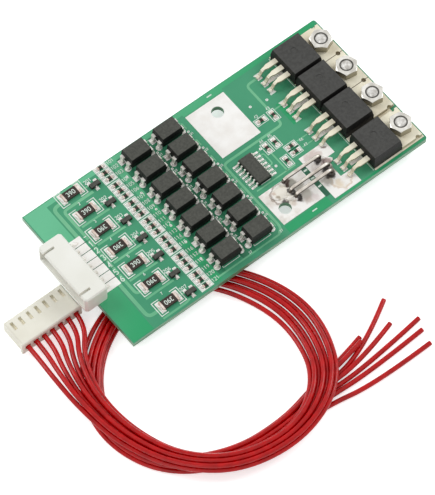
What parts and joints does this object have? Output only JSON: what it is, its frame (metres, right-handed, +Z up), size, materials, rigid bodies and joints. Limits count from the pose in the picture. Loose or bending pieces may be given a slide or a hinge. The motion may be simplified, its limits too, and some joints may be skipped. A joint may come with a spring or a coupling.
{
  "type": "battery management board with balance harness",
  "caption": "Green battery protection and balancing board with optocouplers, clamped power transistors, screw lands, a side-entry balance header and its unplugged red wire harness.",
  "frame": {"origin": "middle of the rigid board assembly in plan, at the undersides of the screw heads it stands on", "axes": "+X from the balance header to the power transistors, +Z up out of the component side"},
  "size_m": [0.1172, 0.0918, 0.011],
  "materials": {
    "solder_mask": "satin",
    "tinned_copper": "satin",
    "header_nylon": "satin",
    "tinned_lead": "satin",
    "resistor_ceramic": "matte",
    "end_cap": "satin",
    "package_epoxy": "matte",
    "screw_steel": "polished",
    "plug_nylon": "satin",
    "contact_brass": "satin",
    "wire_red": "satin"
  },
  "bodies": {
    "root": {"circuit_board": "solder_mask", "load_land": "tinned_copper", "battery_land": "tinned_copper", "shunt_land": "tinned_copper", "tab_land": "tinned_copper", "small_lands": "tinned_copper", "header_housing": "header_nylon", "header_pins": "tinned_lead", "bleed_leads": "tinned_lead", "coupler_leads": "tinned_lead", "logic_leads": "tinned_lead", "fet_frame_1": "tinned_lead", "fet_frame_2": "tinned_lead", "fet_frame_3": "tinned_lead", "fet_frame_4": "tinned_lead", "shunt_bridges": "tinned_lead", "balance_resistor_1": "resistor_ceramic", "balance_resistor_2": "resistor_ceramic", "balance_resistor_3": "resistor_ceramic", "balance_resistor_4": "resistor_ceramic", "balance_resistor_5": "resistor_ceramic", "balance_resistor_6": "resistor_ceramic", "balance_resistor_7": "resistor_ceramic", "chip_bodies": "resistor_ceramic", "resistor_caps": "end_cap", "chip_caps": "end_cap", "bleed_transistors": "package_epoxy", "logic_chip": "package_epoxy", "coupler_a1": "package_epoxy", "coupler_a2": "package_epoxy", "coupler_a3": "package_epoxy", "coupler_a4": "package_epoxy", "coupler_a5": "package_epoxy", "coupler_a6": "package_epoxy", "coupler_a7": "package_epoxy", "coupler_b1": "package_epoxy", "coupler_b2": "package_epoxy", "coupler_b3": "package_epoxy", "coupler_b4": "package_epoxy", "coupler_b5": "package_epoxy", "coupler_b6": "package_epoxy", "coupler_b7": "package_epoxy", "fet_body_1": "package_epoxy", "fet_body_2": "package_epoxy", "fet_body_3": "package_epoxy", "fet_body_4": "package_epoxy", "clamp_screws": "screw_steel", "clamp_washers": "screw_steel", "clamp_nuts": "screw_steel", "plug_housing": "plug_nylon", "plug_contacts": "contact_brass", "wire_1": "wire_red", "wire_2": "wire_red", "wire_3": "wire_red", "wire_4": "wire_red", "wire_5": "wire_red", "wire_6": "wire_red", "wire_7": "wire_red"}
  },
  "joints": []
}
